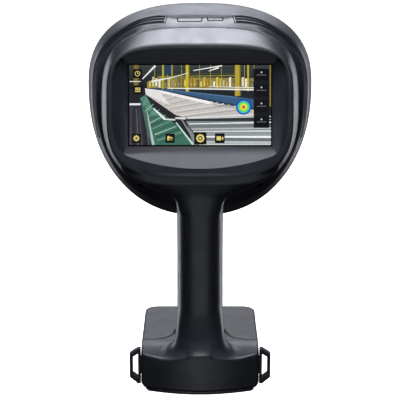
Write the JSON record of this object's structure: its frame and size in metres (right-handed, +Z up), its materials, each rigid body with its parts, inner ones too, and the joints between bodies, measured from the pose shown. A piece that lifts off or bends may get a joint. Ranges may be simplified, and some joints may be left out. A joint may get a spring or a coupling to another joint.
{
  "type": "handheld acoustic imaging scanner",
  "caption": "Handheld sound-imaging scanner: broad microphone head with camera, tilted touch display, pistol grip with trigger, and a foot holding a slide-out battery.",
  "frame": {"origin": "on the table, under the middle of the foot and battery", "axes": "+Z up along the grip, -Y towards the operator, +Y the way the microphones and camera face, +X to the operator's right"},
  "size_m": [0.183, 0.12, 0.3029],
  "materials": {
    "charcoal_shell": "fine satin texture",
    "black_plastic": "satin",
    "cover_glass": "gloss",
    "rubber": "matte",
    "mesh_fabric": "woven",
    "circuit_board": "solder mask",
    "steel": "plain",
    "aluminium": "as cut",
    "contacts": "gold plated",
    "cell": "shrink wrap"
  },
  "bodies": {
    "housing": {"front_housing": "charcoal_shell", "microphone_panel": "black_plastic", "dust_screen": "mesh_fabric", "microphone_board": "circuit_board", "camera_bezel": "black_plastic", "camera_barrel": "black_plastic", "camera_window": "cover_glass", "camera_board": "circuit_board", "lamp_lens_left": "cover_glass", "lamp_lens_right": "cover_glass", "chassis_plate": "aluminium", "head_seal": "rubber", "rear_shell": "charcoal_shell", "vent_grille_left": "black_plastic", "vent_grille_right": "black_plastic", "head_screw_left": "steel", "head_screw_right": "steel", "rear_housing": "charcoal_shell", "grip_front_cover": "charcoal_shell", "touch_glass": "cover_glass", "lcd_module": "black_plastic", "main_board": "circuit_board", "heat_sink": "aluminium", "card_slot": "steel", "memory_card": "black_plastic", "usb_c_socket": "steel", "trigger_spring": "steel", "trigger_switch": "black_plastic", "power_switch": "black_plastic", "switch_bracket": "aluminium", "power_cable": "rubber", "contact_block": "black_plastic", "base_plate": "black_plastic", "base_screw_1": "steel", "base_screw_2": "steel", "base_screw_3": "steel", "base_screw_4": "steel", "strap_loop_left": "black_plastic", "strap_loop_right": "black_plastic"},
    "battery": {"battery_upper_case": "charcoal_shell", "battery_lower_case": "charcoal_shell", "battery_cell_1": "cell", "battery_cell_2": "cell", "battery_board": "circuit_board", "battery_terminal": "contacts", "release_spring": "steel"},
    "release": {"release_button": "black_plastic"},
    "trigger_paddle": {"trigger": "black_plastic"},
    "power_key": {"power_button": "rubber"},
    "card_lid": {"card_flap": "rubber"},
    "usb_c_lid": {"usb_c_flap": "rubber"}
  },
  "joints": [
    {"name": "battery_slide", "type": "slide", "parent": "housing", "child": "battery", "axis": [0, 1, 0], "range_m": [0, 0.1]},
    {"name": "release_press", "type": "slide", "parent": "battery", "child": "release", "axis": [0, -1, 0], "range_m": [0, 0.003], "stiffness_N_per_m": 600, "springref_m": -0.002, "deforming": ["release_spring"]},
    {"name": "trigger_pull", "type": "slide", "parent": "housing", "child": "trigger_paddle", "axis": [0, -1, 0], "range_m": [0, 0.003], "stiffness_N_per_m": 800, "springref_m": -0.002, "deforming": ["trigger_spring"]},
    {"name": "power_press", "type": "slide", "parent": "housing", "child": "power_key", "axis": [0, -1, 0], "range_m": [0, 0.0012], "stiffness_N_per_m": 900, "springref_m": -0.001},
    {"name": "card_lid_hinge", "type": "hinge", "parent": "housing", "child": "card_lid", "pos_m": [-0.0081, -0.00415, 0.29577], "axis": [-1, 0, 0], "range_deg": [0, 100]},
    {"name": "usb_c_lid_hinge", "type": "hinge", "parent": "housing", "child": "usb_c_lid", "pos_m": [0.012, -0.00415, 0.29577], "axis": [-1, 0, 0], "range_deg": [0, 100]}
  ]
}
